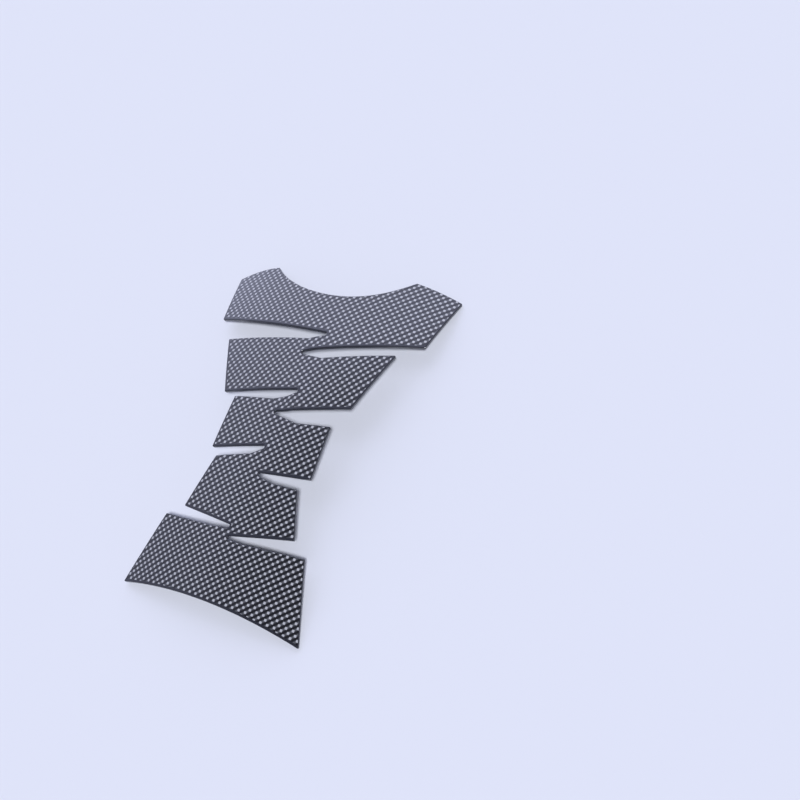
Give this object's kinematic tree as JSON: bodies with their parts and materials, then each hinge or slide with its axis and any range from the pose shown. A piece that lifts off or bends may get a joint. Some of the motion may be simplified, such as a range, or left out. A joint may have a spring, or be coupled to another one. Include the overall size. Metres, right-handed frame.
{
  "type": "motorcycle tank pad",
  "caption": "Stick-on tank pad of glossy, carbon-look printed plastic: staggered slits part it into segments joined by narrow necks, below a notched top end.",
  "frame": {"origin": "centre of the pad's box, at the height of the three corners that it rests on", "axes": "+Z out of the printed face, +Y along the pad to its notched end, +X across it to the right as seen from the face"},
  "size_m": [0.1424, 0.2066, 0.0197],
  "materials": {
    "coated_print": "high-gloss clear coat over a printed plain weave"
  },
  "bodies": {
    "root": {"tank_pad": "coated_print"}
  },
  "joints": []
}
